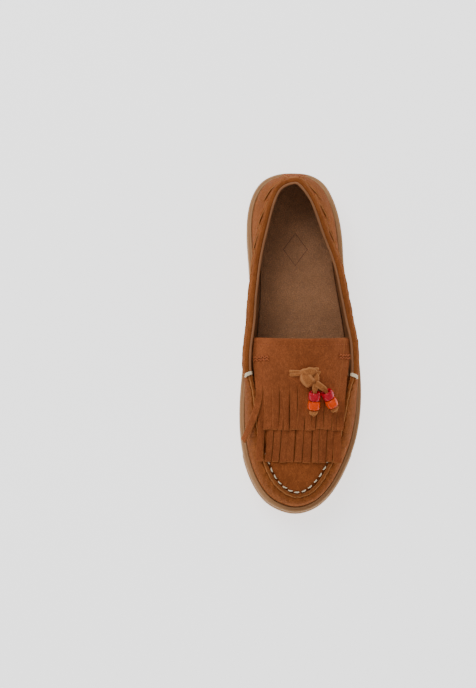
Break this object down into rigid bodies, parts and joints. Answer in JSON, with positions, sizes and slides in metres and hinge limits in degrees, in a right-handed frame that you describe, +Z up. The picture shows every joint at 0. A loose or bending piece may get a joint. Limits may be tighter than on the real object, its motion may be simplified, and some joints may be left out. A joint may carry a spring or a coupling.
{
  "type": "slip-on moccasin",
  "caption": "Left slip-on suede moccasin on a rubber cup sole: hand-sewn apron, two-tier fringed kiltie, laced collar, and a knotted thong with glass beads.",
  "frame": {"origin": "on the ground under the middle of the shoe's bounding box", "axes": "+Z up, +Y towards the heel (toe points along -Y), +X towards the outer (lateral) side of the left foot"},
  "size_m": [0.0966, 0.2701, 0.0902],
  "materials": {
    "rubber_sole": "matte, lightly textured khaki-brown rubber",
    "midsole_foam": "matte foamed filler",
    "steel_shank": "blued spring steel",
    "insole_board": "pressed cellulose board, matte",
    "foam": "open-cell foam, matte",
    "sock_leather": "fine pebbled leather, low sheen",
    "suede": "napped suede, matte",
    "lining_leather": "smooth lining leather, matte",
    "stiffener": "resin-set felt, matte",
    "thong": "waxed suede thong, matte",
    "thread_cream": "waxed thread",
    "thread_brown": "matt thread",
    "glass_red": "clear polished glass",
    "glass_orange": "clear polished glass"
  },
  "bodies": {
    "root": {"outsole": "rubber_sole", "midsole": "midsole_foam", "shank": "steel_shank", "insole_board": "insole_board", "footbed_foam": "foam", "sock_cover": "sock_leather", "quarter_lateral": "suede", "vamp": "suede", "quarter_medial": "suede", "heel_counter": "stiffener", "collar_foam": "foam", "toe_puff": "stiffener", "quarter_lining": "lining_leather", "vamp_lining": "lining_leather", "backstay": "suede", "collar_binding": "suede", "collar_lace_lateral": "thong", "collar_lace_medial": "thong", "apron": "suede", "apron_lining": "lining_leather", "kiltie_lower_yoke": "suede", "kiltie_upper_yoke": "suede", "apron_stitches": "thread_cream", "saddle_stitches": "thread_cream", "bar_tacks": "thread_brown"},
    "kiltie_lower_flap": {"kiltie_lower": "suede"},
    "kiltie_upper_flap": {"kiltie_upper": "suede", "bow_knot": "thong"},
    "tail_inner_strap": {"tail_inner": "thong"},
    "tail_outer_strap": {"tail_outer": "thong"},
    "bead_orange_inner_ring": {"bead_orange_inner": "glass_orange"},
    "bead_red_inner_ring": {"bead_red_inner": "glass_red"},
    "bead_orange_outer_ring": {"bead_orange_outer": "glass_orange"},
    "bead_red_outer_ring": {"bead_red_outer": "glass_red"}
  },
  "joints": [
    {"name": "kiltie_upper_lift", "type": "hinge", "parent": "root", "child": "kiltie_upper_flap", "pos_m": [0, -0.0231, 0.0834], "axis": [-1, 0, 0], "range_deg": [0, 40]},
    {"name": "kiltie_lower_lift", "type": "hinge", "parent": "root", "child": "kiltie_lower_flap", "pos_m": [0, -0.0231, 0.0834], "axis": [-1, 0, 0], "range_deg": [0, 20]},
    {"name": "tail_inner_swing", "type": "hinge", "parent": "kiltie_upper_flap", "child": "tail_inner_strap", "pos_m": [0.00958, -0.04316, 0.08056], "axis": [0.1234, -0.3624, 0.9238], "range_deg": [-22, 0]},
    {"name": "tail_outer_swing", "type": "hinge", "parent": "kiltie_upper_flap", "child": "tail_outer_strap", "pos_m": [0.01356, -0.04094, 0.08118], "axis": [0.3216, -0.3393, 0.884], "range_deg": [0, 22]},
    {"name": "bead_orange_inner_slide", "type": "slide", "parent": "tail_inner_strap", "child": "bead_orange_inner_ring", "axis": [0.0523, 0.932, 0.3587], "range_m": [0, 0.001]},
    {"name": "bead_red_inner_slide", "type": "slide", "parent": "bead_orange_inner_ring", "child": "bead_red_inner_ring", "axis": [0.0523, 0.932, 0.3587], "range_m": [0, 0.001]},
    {"name": "bead_orange_outer_slide", "type": "slide", "parent": "tail_outer_strap", "child": "bead_orange_outer_ring", "axis": [-0.4212, 0.7849, 0.4545], "range_m": [0, 0.001]},
    {"name": "bead_red_outer_slide", "type": "slide", "parent": "bead_orange_outer_ring", "child": "bead_red_outer_ring", "axis": [-0.4212, 0.7849, 0.4545], "range_m": [0, 0.001]}
  ],
  "couplings": [
    {"joint": "kiltie_lower_lift", "follows": "kiltie_upper_lift", "ratio": 0.5}
  ]
}
